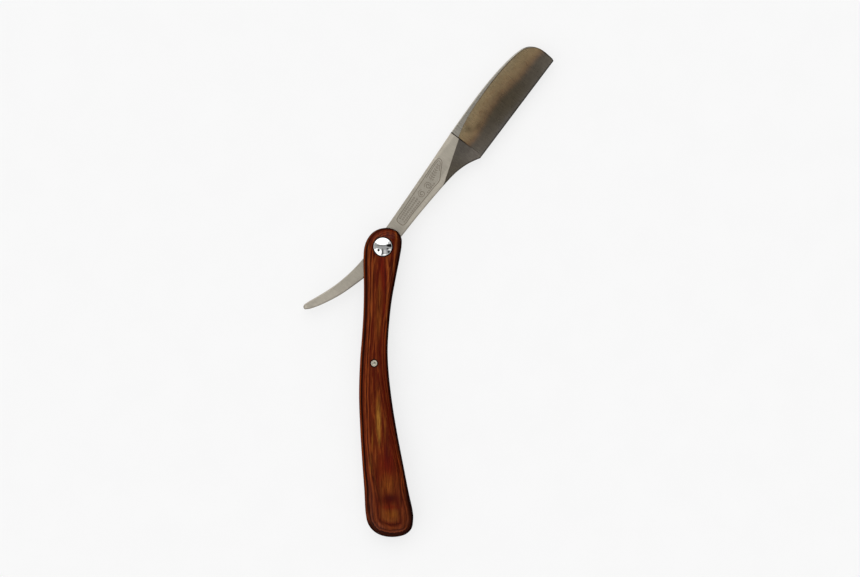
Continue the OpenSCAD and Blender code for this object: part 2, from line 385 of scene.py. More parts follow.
    def bump(self, height, millimetres, strength=1.0, normal=None):
        n = self.node("ShaderNodeBump")
        n.inputs["Strength"].default_value = strength
        n.inputs["Distance"].default_value = millimetres * MM
        self.put(n.inputs["Height"], height)
        if normal is not None:
            self.put(n.inputs["Normal"], normal)
        return n.outputs[0]

    def done(self, colour, rough, metallic=0.0, normal=None, **constants):
        self.put(self.bsdf.inputs["Base Color"], colour)
        self.put(self.bsdf.inputs["Roughness"], rough)
        self.put(self.bsdf.inputs["Metallic"], metallic)
        if normal is not None:
            self.put(self.bsdf.inputs["Normal"], normal)
        for k, v in constants.items():
            self.bsdf.inputs[k.replace("_", " ")].default_value = v
        return self.mat


def srgb(r, g, b):
    """Linear colour from 0 to 255 display values."""
    return tuple((c / 255 / 12.92) if c / 255 <= 0.04045 else ((c / 255 + 0.055) / 1.055) ** 2.4 for c in (r, g, b))


INK, DARK, RED, BROWN, ORANGE, RUST, PLUM, OCHRE, STRAW = (srgb(20, 4, 2), srgb(48, 13, 5), srgb(70, 14, 5),
    srgb(86, 29, 9), srgb(116, 51, 18), srgb(88, 24, 7), srgb(54, 12, 10), srgb(132, 77, 24), srgb(160, 112, 44))
SCARLET, AMBER = srgb(96, 22, 8), srgb(132, 66, 26)


def laminated_wood(name, front):
    """Dyed veneers glued face to face and cut by the domed face, so that each glue line shows as a contour."""
    g = Nodes(name)
    p = g.millimetres()
    x, y, z = g.xyz(p)
    height = g.math("SUBTRACT", z, INNER_HIGH) if front else g.math("SUBTRACT", INNER_LOW, z)
    side = 0.0 if front else 31.0
    # the veneers lean a little, so that the two long edges show different ones; this is partly painted shade, dark
    # veneers on the right-hand edge and orange ones on the left-hand edge
    off = g.math("ADD", y, 52.0)
    middle = g.math("MULTIPLY_ADD", g.math("MULTIPLY", off, off), g.span(y, -60.0, -20.0, 0.00115, 0.0016), -4.3)
    lean = g.math("SUBTRACT", x, middle)
    # they are not flat either: long swells, and short feathering along the fibres
    swell = g.math("SUBTRACT", g.noise(p, (0.20, 0.022, 0.1), 2.0, 0.5, (side + 3, 7, 1)), 0.5)
    ripple = g.math("SUBTRACT", g.noise(p, (0.75, 0.045, 0.3), 3.0, 0.55, (side + 11, 2, 5)), 0.5)
    fibre = g.noise(p, (2.6, 0.09, 1.3), 4.0, 0.62, (side, 3, 0), 0.15)
    fine = g.noise(p, (4.2, 0.20, 2.4), 3.0, 0.62, (side + 5, 0, 2))
    rim = g.rim()
    calm = g.span(y, -126.0, -112.0, 0.45, 1.0)      # the fibres wander less where the loops turn round the heel
    feather = g.math("SUBTRACT", fibre, 0.5)
    q = g.math("MULTIPLY_ADD", lean, 0.05, height)
    q = g.math("MULTIPLY_ADD", g.math("MULTIPLY", swell, calm), 0.50, q)
    q = g.math("MULTIPLY_ADD", g.math("MULTIPLY", ripple, calm), 0.30, q)
    q = g.math("MULTIPLY_ADD", feather, 0.20, q)
    # the face is dished towards the heel, which spreads the contours there into nested loops
    dish = g.math("MULTIPLY", g.span(y, -130.0, -108.0, 1.0, 0.0), g.span(rim, 1.0, 9.0, -0.52, 0.0, smooth=False))
    q = g.math("ADD", q, dish)

    def hump(cx, cy, rx, ry):
        a = g.math("DIVIDE", g.math("SUBTRACT", x, cx), rx)
        b = g.math("DIVIDE", g.math("SUBTRACT", y, cy), ry)
        d = g.math("ADD", g.math("MULTIPLY", a, a), g.math("MULTIPLY", b, b))
        return g.math("POWER", 2.71828, g.math("MULTIPLY", d, -1.0))

    def raise_by(cx, cy, rx, ry, amount):
        nonlocal q
        q = g.math("MULTIPLY_ADD", hump(cx, cy, rx, ry), amount, q)
    if front:
        raise_by(-2.2, -84, 1.4, 13, 0.18)
        raise_by(0.0, -17, 1.4, 9, -0.16)
        raise_by(-2.2, -42, 1.6, 12, -0.10)
    else:
        raise_by(-3.5, -98, 2.2, 24, 0.30)
        raise_by(1.0, -26, 1.8, 14, 0.16)
    f = g.math("DIVIDE", q, 3.9, clamp=True)
    layers = [(0.0, RUST), (0.27, INK), (0.50, DARK), (0.56, BROWN), (0.78, RUST), (1.00, RED),
        (1.15, ORANGE), (1.42, ORANGE), (1.50, DARK), (1.96, DARK), (2.06, BROWN), (2.38, BROWN), (2.46, ORANGE), (2.58, ORANGE),
        (2.64, RED), (2.73, DARK), (2.79, ORANGE), (2.89, ORANGE), (2.94, RED), (3.00, RED), (3.06, BROWN), (3.13, BROWN),
        (3.17, ORANGE), (3.20, RED), (3.26, BROWN), (3.32, ORANGE), (3.36, RED), (3.42, BROWN), (3.50, DARK), (3.60, OCHRE), (3.80, STRAW)]
    colour = g.ramp(f, [(v / 3.9, c) for v, c in layers])

    # round the heel the glue lines come up one after another at steady distances from the outline
    loops = g.ramp(g.math("DIVIDE", g.math("MULTIPLY_ADD", ripple, 1.6, g.math("MULTIPLY_ADD", feather, 0.9, rim)), 13.0, clamp=True),
                   [(v / 13.0, srgb(*c)) for v, c in (
        (0.0, (92, 42, 22)), (1.2, (84, 36, 18)), (1.75, (36, 12, 7)), (2.25, (44, 15, 8)), (2.6, (112, 54, 28)), (2.95, (96, 42, 20)),
        (3.4, (48, 15, 8)), (3.9, (88, 38, 18)), (4.8, (104, 48, 23)), (5.6, (86, 34, 16)), (6.4, (50, 12, 7)), (7.1, (84, 32, 14)),
        (8.4, (108, 56, 24)), (10.0, (98, 44, 18)), (12.0, (80, 26, 11)))])
    heel = g.math("MULTIPLY", g.span(y, -128.0, -112.0, 0.8, 0.0), g.span(rim, 12.0, 9.0, 0.0, 1.0))
    colour = g.mix(heel, colour, loops)

    streak = g.span(fibre, 0.36, 0.62, 0.25, 1.0)
    firm = g.span(fibre, 0.34, 0.56, 0.62, 1.0)
    dashes = g.span(fine, 0.42, 0.56, 0.15, 1.0)

    def stain(cx, cy, rx, ry, tint, amount, broken=None):
        nonlocal colour
        colour = g.mix(g.math("MULTIPLY", g.math("MULTIPLY", hump(cx, cy, rx, ry), broken or streak), amount), colour, tint)

    def vein(knots, wide, tint, amount):
        """One thin veneer coming to the surface along a line; knots are (y, x) from the heel upwards."""
        nonlocal colour
        away = g.math("DIVIDE", g.math("SUBTRACT", g.math("MULTIPLY_ADD", ripple, 0.8, x), g.curve(y, knots)), wide)
        mask = g.math("POWER", 2.71828, g.math("MULTIPLY", g.math("MULTIPLY", away, away), -1.0))
        lo, hi = knots[0][0], knots[-1][0]
        ends = g.math("MULTIPLY", g.span(y, lo, lo + 4.0, 0.0, 1.0), g.span(y, hi - 4.0, hi, 1.0, 0.0))
        colour = g.mix(g.math("MULTIPLY", g.math("MULTIPLY", mask, firm), g.math("MULTIPLY", ends, amount)), colour, tint)
    if front:
        stain(0.6, -62, 1.6, 13, RED, 0.85)
        stain(-0.4, -45, 1.3, 9, SCARLET, 0.7)
        stain(3.4, -82, 2.6, 17, RED, 1.0)
        stain(5.0, -99, 2.6, 12, RED, 0.8)
        stain(2.2, -108, 3.0, 7, SCARLET, 0.85, firm)
        stain(2.2, -103, 1.2, 6, PLUM, 0.85)
        stain(-1.6, -50, 1.2, 10, RED, 0.6)
        stain(-2.5, -79, 0.75, 6.5, OCHRE, 1.0)
        stain(-2.2, -86, 1.0, 7, STRAW, 0.95)
        stain(-1.7, -93, 0.6, 5, STRAW, 0.7)
        stain(1.1, -89, 0.5, 6, OCHRE, 0.6)
        stain(-5.3, -96, 0.5, 6, OCHRE, 0.7)
        stain(-6.2, -109, 0.5, 5, OCHRE, 0.7, firm)
        stain(-3.5, -105, 0.8, 6, AMBER, 0.8)
        stain(0.9, -29, 0.8, 9, SCARLET, 0.6)
        stain(-5.6, 1.5, 0.9, 5, RED, 0.7, firm)
        stain(-1.7, -23, 1.0, 8, OCHRE, 0.5)
        stain(-2.1, -37, 1.3, 8, OCHRE, 0.5)
        stain(0.2, 6.8, 2.0, 0.9, RUST, 0.9)
        stain(2.6, 6.4, 0.8, 1.3, PLUM, 0.9)
        stain(-0.8, -9.0, 1.4, 3.4, SCARLET, 0.9, firm)
        vein([(-24, 0.9), (-18, 0.8), (-12, 0.2), (-3, -0.7)], 1.3, SCARLET, 0.95)
        vein([(-26, 1.3), (-18, 1.2), (-9, 0.9)], 0.5, PLUM, 0.8)
        vein([(-22, -3.2), (-14, -2.6), (-9, -1.5), (-3, -0.7)], 0.8, RED, 0.95)
        vein([(-40, 2.0), (-25, 3.7), (-14, 4.6), (-4, 4.6)], 0.9, DARK, 0.8)
        vein([(-14, 6.2), (-6, 7.2), (0, 7.9), (11, 8.3)], 1.1, DARK, 0.95)
        vein([(-10, 4.2), (-4, 4.7), (2, 5.3), (10, 4.6)], 0.8, RED, 0.85)
        vein([(-38, -5.7), (-14, -5.3), (-9, -4.6), (-3, -3.4)], 0.4, AMBER, 0.8)
        vein([(-38, 1.6), (-24, 2.3), (-12, 2.8), (-8, 2.3), (-3, 1.5)], 0.4, AMBER, 0.95)
        vein([(-14, 5.0), (-6, 5.8), (0, 6.4), (4, 6.7), (11, 6.0)], 0.38, AMBER, 0.95)
        vein([(-12, -7.0), (-4, -7.1), (4, -7.3)], 0.35, AMBER, 0.8)
        vein([(-130, -0.6), (-122, -2.6), (-115, -4.3), (-108, -5.3), (-100, -5.7)], 0.45, DARK, 0.85)
        vein([(-132, 9.2), (-124, 9.0), (-116, 8.2), (-104, 6.6)], 0.45, DARK, 0.75)
        stain(3.0, -118, 3.6, 4.6, OCHRE, 0.40, dashes)
        stain(4.4, -133.2, 3.6, 2.4, OCHRE, 0.55, dashes)
        stain(3.2, -126.2, 5.6, 3.0, RED, 1.0, firm)
        stain(3.9, -125.0, 3.4, 1.8, PLUM, 0.85, firm)
        stain(3.9, -129.6, 4.6, 1.2, SCARLET, 0.75, firm)
        # a dark line runs down about 1.5 mm in from the long left-hand edge
        beside = g.math("ABSOLUTE", g.math("SUBTRACT", g.math("MULTIPLY_ADD", ripple, 1.0, rim), 1.5))
        beside = g.math("MULTIPLY", g.span(beside, 0.15, 0.5, 1.0, 0.0), g.span(lean, -2.0, -1.0, 1.0, 0.0))
        beside = g.math("MULTIPLY", beside, g.math("MULTIPLY", g.span(y, 6.0, 0.0, 0.0, 1.0), g.span(y, -136.0, -128.0, 0.0, 0.85)))
        colour = g.mix(beside, colour, INK)
        # painted shade: the heel's right-hand side and its foot darkened nearly black within about 2 mm of the outline
        heel_painted_shade = g.math("MAXIMUM", g.span(y, -134.0, -139.0, 0.0, 1.0), g.math("MULTIPLY", g.span(x, 4.0, 8.0, 0.0, 1.0), g.span(y, -118.0, -126.0, 0.0, 1.0)))
        colour = g.mix(g.math("MULTIPLY", heel_painted_shade, g.span(rim, 1.1, 2.1, 0.8, 0.0)), colour, INK)
    else:
        stain(-3.2, -96, 1.5, 15, STRAW, 0.8)
        stain(0.6, -22, 1.7, 11, RED, 0.8)
        stain(2.0, -127, 3.4, 4, PLUM, 0.8)
    tone = g.span(fibre, 0.30, 0.70, 0.58, 1.32, smooth=False)
    tone = g.math("MULTIPLY", tone, g.span(fine, 0.3, 0.7, 0.74, 1.28, smooth=False))
    colour = g.scaled(colour, tone)
    pores = g.span(fine, 0.63, 0.76, 0.0, 0.5)
    colour = g.mix(pores, colour, INK)
    # painted shade: dark lines in the gaps round the two metal heads
    for (cx, cy), r_in, r_out in ((PIVOT, 4.95, 5.3), (PIN, 1.8, 2.45)):
        ax, ay = g.math("SUBTRACT", x, cx), g.math("SUBTRACT", y, cy)
        r = g.math("SQRT", g.math("ADD", g.math("MULTIPLY", ax, ax), g.math("MULTIPLY", ay, ay)))
        colour = g.mix(g.span(r, r_in, r_out, 0.9, 0.0), colour, INK)
    # painted shade: the edge is darkened nearly black where it rolls over, further in on the right-hand side, but not
    # on the long left-hand side
    left = g.math("MULTIPLY", g.span(lean, -6.0, -5.0, 1.0, 0.0), g.math("MULTIPLY", g.span(y, 3.0, -3.0, 0.0, 1.0), g.span(y, -139.0, -135.0, 0.0, 1.0)))
    right = g.span(lean, 4.5, 6.5, 0.0, 1.0)
    shade_reach = g.math("MULTIPLY_ADD", right, 0.45, 1.35)
    edge = g.math("MULTIPLY", g.math("SUBTRACT", 1.0, left), g.span(g.math("SUBTRACT", height, shade_reach), 0.0, 0.42, 1.0, 0.0))
    colour = g.mix(g.math("MULTIPLY", edge, 0.9), colour, INK)
    rough = g.span(fibre, 0.2, 0.8, 0.34, 0.46, smooth=False)
    normal = g.bump(g.math("ADD", fibre, g.math("MULTIPLY", fine, 0.5)), 0.02, 0.6)
    # a thin finish, worn off where the edge rolls over
    g.put(g.bsdf.inputs["Coat Weight"], g.span(rim, 0.8, 3.0, 0.0, 0.10))
    return g.done(colour, rough, 0.0, normal, Specular_IOR_Level=0.01, Coat_Roughness=0.12)


def weld_line(g, x, y):
    """Dark joint between tang and blade, which fades before it reaches the edge."""
    return g.math("MULTIPLY", g.span(g.math("ABSOLUTE", g.math("SUBTRACT", x, WELD_X)), 0.16, 0.36, 1.0, 0.0),
                  g.span(y, -7.0, 1.5, 0.10, 1.0))


def satin_steel(name):
    """Shank and tail: fine satin grain across the length, with faint handling marks."""
    g = Nodes(name)
    p = g.millimetres(-OPEN)
    grain = g.noise(p, (2.6, 0.25, 2.6), 4.0, 0.7, (2, 5, 1))
    fine = g.noise(p, (14.0, 0.7, 14.0), 3.0, 0.6, (7, 1, 3))
    cloud = g.noise(p, (0.16, 0.25, 0.2), 3.0, 0.55, (4, 4, 2))
    x, y, z = g.xyz(p)
    rim = g.rim()
    # painted reflection: the ground triangle under the slanting grind line is coloured darker than the flat
    across = g.math("SUBTRACT", g.math("MULTIPLY", g.math("ADD", y, GRIND[1]), math.cos(TURN)),
                    g.math("MULTIPLY", g.math("SUBTRACT", x, GRIND[0]), math.sin(TURN)))
    ground = g.math("MULTIPLY", g.span(across, 12.9, 12.5, 0, 1), g.span(x, 42.0, 43.5, 0, 1))
    flat = g.ramp(grain, [(0.25, srgb(164, 157, 145)), (0.5, srgb(174, 167, 154)), (0.75, srgb(184, 177, 164))])
    flat = g.scaled(flat, g.span(cloud, 0.3, 0.7, 0.94, 1.06, smooth=False))
    # painted reflection: lighter out on the tail, along the belly of the shank and towards its back
    light = g.math("MULTIPLY_ADD", g.span(x, -22.0, -38.0, 0.0, 1.0), 0.17, 1.0)
    light = g.math("MULTIPLY_ADD", g.math("MULTIPLY", g.span(x, 12.0, 20.0, 0, 1), g.span(y, -1.6, -3.2, 0, 1)), 0.14, light)
    light = g.math("MULTIPLY_ADD", g.math("MULTIPLY", g.span(x, 40.0, 50.0, 0, 1), g.span(y, 4.4, 5.4, 0, 1)), 0.22, light)
    # painted shade on the shank next to the scales, where it comes out from between them
    light = g.math("MULTIPLY_ADD", g.hump(x, y, 11.5, -1.0, 3.0, 2.5), -0.14, light)
    # painted highlight on the rounded tip of the tail
    light = g.math("MULTIPLY_ADD", g.hump(x, y, -47.2, 12.7, 0.7, 0.6), 0.35, light)
    inside = g.math("MULTIPLY", g.math("MULTIPLY", g.span(x, 14.2, 15.6, 0, 1), g.span(x, 52.2, 50.6, 0, 1)),
                    g.math("MULTIPLY", g.span(y, -2.4, -1.6, 0, 1), g.span(g.math("SUBTRACT", y, g.math("MULTIPLY", x, 0.055)), 2.4, 1.6, 0, 1)))
    light = g.math("MULTIPLY_ADD", inside, -0.08, light)
    flat = g.scaled(flat, light)
    # painted reflection in the ground triangle, with a bluer cast towards the weld
    dark = g.ramp(grain, [(0.25, srgb(108, 100, 89)), (0.5, srgb(119, 111, 98)), (0.75, srgb(132, 124, 110))])
    dark = g.scaled(dark, g.span(cloud, 0.3, 0.7, 0.86, 1.12, smooth=False))
    dark = g.scaled(dark, g.math("MULTIPLY", g.curve(x, [(44, 0.86), (54, 0.96), (60, 0.97), (67, 0.99)]), g.span(y, -5.0, -9.5, 1.0, 1.12)))
    dark = g.mix(g.span(x, 52.0, 62.0, 0.0, 1.0), dark, (1.0, 1.02, 1.12), blend="MULTIPLY")
    colour = g.mix(ground, flat, dark)
    colour = g.mix(weld_line(g, x, y), colour, srgb(34, 24, 17))
    # painted shade: the broken edges darkened into lines, most of all at the belly of the grind and round the tail's
    # tip
    strength = g.math("MULTIPLY_ADD", ground, 0.30, 0.26)
    strength = g.math("MULTIPLY_ADD", g.span(x, -46.0, -47.6, 0.0, 1.0), 0.25, strength)
    colour = g.scaled(colour, g.math("SUBTRACT", 1.0, g.math("MULTIPLY", strength, g.span(rim, 0.22, 0.80, 1.0, 0.0))))
    rough = g.math("SUBTRACT", g.span(grain, 0.2, 0.8, 0.36, 0.46, smooth=False), g.math("MULTIPLY", ground, 0.08))
    normal = g.bump(g.math("ADD", grain, g.math("MULTIPLY", fine, 0.6)), 0.008, 0.7)
    return g.done(colour, rough, 1.0, normal)


def ground_steel(name):
    """Blade: cool satin strip along the back, and over the hollow a painted reflection that turns from bronze to grey
    towards the edge.
    """
    g = Nodes(name)
    p = g.millimetres(-OPEN)
    x, y, z = g.xyz(p)
    rim = g.rim()
    grain = g.noise(p, (1.9, 0.10, 1.9), 4.0, 0.72, (1, 3, 2))
    fine = g.noise(p, (11.0, 0.5, 11.0), 3.0, 0.6, (9, 1, 3))
    cloud = g.noise(p, (0.26, 0.40, 0.3), 3.0, 0.6, (2, 8, 2), 0.5)
    wave = g.noise(p, (0.30, 0.12, 0.1), 3.0, 0.55, (12, 3, 2))
    crease = g.math("SUBTRACT", y, g.curve(x, crease_line[::6]))
    strip = g.span(crease, -0.06, 0.06, 0, 1)
    # painted shade: a dark line along the crease between the strip and the hollow
    line = g.math("MULTIPLY", g.span(g.math("ABSOLUTE", g.math("ADD", crease, 0.16)), 0.05, 0.34, 1.0, 0.0), g.span(x, 76.0, 98.0, 0.22, 0.75))
    cool = g.ramp(grain, [(0.25, srgb(150, 146, 137)), (0.5, srgb(160, 155, 145)), (0.75, srgb(171, 166, 155))])
    # painted reflection: the strip lighter towards the weld
    cool = g.scaled(cool, g.curve(x, [(66, 1.26), (72, 1.16), (82, 1.0), (96, 0.93), (127, 0.93)]))
    # the reflection turns from bronze to grey along a wavering line
    level = g.curve(x, [(66, -3.5), (70, -4.0), (74, -3.8), (77, -3.0), (81, -2.6), (84, -1.7), (88, -1.5), (96, -1.5), (100, -2.0), (104, -2.4),
                        (108, -3.3), (112, -3.7), (116, -3.6), (120, -3.7), (124, -4.4), (127, -5.2)])
    turn = g.math("MULTIPLY_ADD", g.math("SUBTRACT", wave, 0.5), 1.6, g.math("SUBTRACT", y, level))
    body = g.ramp(g.math("DIVIDE", g.math("ADD", turn, 10.5), 19.0, clamp=True), [(v, srgb(*c)) for v, c in (
        (0.047, (98, 92, 84)), (0.153, (94, 86, 73)), (0.289, (93, 84, 69)), (0.425, (98, 88, 72)), (0.490, (112, 96, 77)),
        (0.553, (137, 113, 87)), (0.616, (154, 128, 97)), (0.701, (171, 146, 111)), (0.789, (179, 154, 117)),
        (0.868, (179, 157, 120)), (0.974, (182, 162, 128)))])
    tone = g.span(cloud, 0.3, 0.7, 0.92, 1.08, smooth=False)
    # painted reflection, brighter towards both ends near the edge
    low = g.span(y, -2.5, -8.5, 0.0, 1.0)
    tone = g.math("MULTIPLY", tone, g.math("MULTIPLY_ADD", g.curve(x, [(66, 0.64), (72, 0.46), (80, 0.24), (88, 0.08), (96, 0.0), (108, 0.04), (116, 0.14), (127, 0.40)]), low, 1.0))
    # painted reflection: a darker curl next to the weld, and lighter and darker patches further along
    for cx, cy, rx, ry, amount in ((72.9, 1.2, 1.7, 1.9, -0.34), (76.4, -1.5, 2.8, 1.1, -0.20), (79.6, -1.2, 2.6, 1.0, -0.10), (84.6, -0.3, 2.0, 1.0, -0.12),
                                   (69.6, -0.6, 1.5, 1.6, 0.08), (73.0, -2.4, 2.4, 1.0, 0.22), (80.5, 3.0, 3.6, 1.8, 0.08), (92.2, 2.6, 2.4, 2.4, 0.08),
                                   (96.3, 0.4, 1.8, 1.8, -0.08), (101, 4.0, 2.6, 2.0, -0.06), (119.6, -3.0, 4.0, 2.2, 0.14), (96.0, 5.2, 2.0, 1.0, -0.06)):
        tone = g.math("MULTIPLY_ADD", g.hump(x, y, cx, cy, rx, ry), amount, tone)
    body = g.scaled(body, tone)
    # painted reflection: bluer grey towards the edge, most of all near both ends
    bluer_reflection = g.math("MULTIPLY", g.curve(x, [(66, 1.0), (72, 0.8), (80, 0.6), (88, 0.2), (96, 0.0), (104, 0.2), (112, 0.6), (127, 0.8)]), g.span(y, -2.5, -6.0, 0.0, 1.0))
    body = g.mix(bluer_reflection, body, (1.0, 1.08, 1.32), blend="MULTIPLY")
    # painted reflection: warm brownish patches in the bronze part
    tint = g.math("MULTIPLY", g.span(g.noise(p, (0.45, 0.5, 0.4), 3.0, 0.6, (21, 4, 8)), 0.54, 0.70, 0.0, 0.30), g.span(turn, -2.0, 1.0, 0.0, 1.0))
    body = g.mix(tint, body, srgb(160, 118, 84))
    body = g.scaled(body, g.span(grain, 0.28, 0.72, 0.91, 1.09, smooth=False))
    colour = g.mix(strip, body, cool)
    colour = g.mix(line, colour, srgb(74, 62, 47))
    colour = g.mix(weld_line(g, x, y), colour, srgb(34, 24, 17))
    # painted shade: the honed edge, the toe and the nose darkened into lines
    dark = g.math("MAXIMUM", g.span(y, -10.9, -11.2, 0.0, 0.42), g.span(x, 119.0, 123.5, 0.0, 0.62))
    colour = g.scaled(colour, g.math("SUBTRACT", 1.0, g.math("MULTIPLY", dark, g.span(rim, 0.30, 0.85, 1.0, 0.0))))
    rough = g.span(grain, 0.2, 0.8, 0.24, 0.34, smooth=False)
    normal = g.bump(g.math("ADD", grain, g.math("MULTIPLY", fine, 0.6)), 0.004, 0.7)
    return g.done(colour, rough, 1.0, normal)


def etched_steel(name):
    g = Nodes(name)
    p = g.millimetres(-OPEN)
    n = g.noise(p, (6, 6, 6), 3.0, 0.6)
    colour = g.ramp(n, [(0.3, srgb(108, 100, 89)), (0.7, srgb(142, 133, 120))])
    return g.done(colour, g.span(n, 0.2, 0.8, 0.5, 0.68), 1.0, g.bump(n, 0.01, 0.6))


def polished_steel(name, centre, rings=0.0):
    """Mirror polish with hairline turning marks round an axis."""
    g = Nodes(name)
    p = g.millimetres()
    x, y, z = g.xyz(p)
    dx, dy = g.math("SUBTRACT", x, centre[0]), g.math("SUBTRACT", y, centre[1])
    r = g.math("SQRT", g.math("ADD", g.math("MULTIPLY", dx, dx), g.math("MULTIPLY", dy, dy)))
    hair = g.noise(g.vector(r, 0.0, z), (7, 1, 7), 4.0, 0.6)
    smear = g.noise(p, (0.5, 0.5, 0.5), 3.0, 0.6, (5, 2, 7))
    colour = g.ramp(smear, [(0.3, srgb(226, 226, 226)), (0.7, srgb(240, 240, 238))])
    rough = g.math("ADD", g.span(smear, 0.3, 0.7, 0.025, 0.055), g.math("MULTIPLY", hair, 0.015 + rings))
    return g.done(colour, rough, 1.0, g.bump(hair, 0.002 + rings * 0.02, 0.4))


def turned_metal(name, centre, light, dark, rough_lo, rough_hi, mark=None):
    """Dull turned metal, with ring marks and tarnish."""
    g = Nodes(name)
    p = g.millimetres()
    x, y, z = g.xyz(p)
    dx, dy = g.math("SUBTRACT", x, centre[0]), g.math("SUBTRACT", y, centre[1])
    r = g.math("SQRT", g.math("ADD", g.math("MULTIPLY", dx, dx), g.math("MULTIPLY", dy, dy)))
    ring = g.noise(g.vector(r, 0.0, z), (9, 1, 9), 3.0, 0.6, (3, 1, 2))
    blot = g.noise(p, (1.1, 1.1, 1.1), 4.0, 0.6, (2, 6, 4))
    colour = g.mix(g.span(blot, 0.35, 0.7, 0, 1), light, dark)
    if mark:
        # painted shade in the punch mark and at the rounded rim of the head
        ax, ay = g.math("SUBTRACT", dx, mark[0]), g.math("SUBTRACT", dy, mark[1])
        away = g.math("SQRT", g.math("ADD", g.math("MULTIPLY", ax, ax), g.math("MULTIPLY", ay, ay)))
        colour = g.mix(g.span(away, 0.42, 0.68, 0.75, 0.0), colour, srgb(84, 88, 78))
        colour = g.mix(g.span(r, 1.38, 1.6, 0.0, 0.7), colour, srgb(70, 58, 44))
    rough = g.span(g.math("ADD", ring, blot), 0.6, 1.4, rough_lo, rough_hi)
    return g.done(colour, rough, 1.0, g.bump(ring, 0.01, 0.6))


def fibre_spacer(name):
    g = Nodes(name)
    p = g.millimetres()
    n = g.noise(p, (1.5, 1.5, 1.5), 5.0, 0.65)
    speck = g.noise(p, (6, 6, 6), 2.0, 0.5, (3, 3, 3))
    colour = g.ramp(n, [(0.3, srgb(22, 18, 17)), (0.7, srgb(46, 37, 33))])
    colour = g.mix(g.span(speck, 0.62, 0.75, 0, 0.5), colour, srgb(84, 66, 54))
    return g.done(colour, g.span(n, 0.2, 0.8, 0.55, 0.75), 0.0, g.bump(n, 0.03, 0.7), Specular_IOR_Level=0.35)


wood_front = laminated_wood("wood_front", True)
wood_back = laminated_wood("wood_back", False)
steel_satin = satin_steel("steel_satin")
steel_ground = ground_steel("steel_ground")
steel_etched = etched_steel("steel_etched")
steel_pivot = polished_steel("steel_pivot", PIVOT)
steel_screw = polished_steel("steel_screw", PIVOT, 0.12)
pin_metal = turned_metal("pin_metal", PIN, srgb(208, 202, 186), srgb(176, 168, 150), 0.34, 0.48, (0.2, 0.1))
brass = turned_metal("brass", PIVOT, srgb(222, 184, 112), srgb(150, 112, 62), 0.25, 0.45)
spacer = fibre_spacer("spacer")

# ---------------------------------------------------------------- scales

outline = smooth_line(HANDLE, 24, closed=True)[::-1]        # anticlockwise
outline = np.roll(outline, -int(np.argmax(outline[:, 1])), 0)


def split_outline():
    """Left side, foot, right side and head of the handle, each as an open line."""
    def near(x, y):
        return int(np.argmin(((outline - [x, y]) ** 2).sum(1)))
    a, b, c, d = near(-7.2, 4.6), near(-7.0, -138.6), near(13.8, -141.4), near(8.6, 6.0)
    def part(i, j):
        return outline[i:j + 1] if i <= j else np.concatenate([outline[i:], outline[:j + 1]])
    return part(a, b), part(b, c), part(c, d), part(d, a)


def crown(d):
    """Height of a scale above its inner face at a distance from the outline."""
    wide, rim = 7.0, 0.95
    t = np.clip(d / wide, 0, 1)
    return rim + (SCALE_T - rim) * np.clip(1 - (1 - t) ** 2.2, 0, 1) ** 0.62


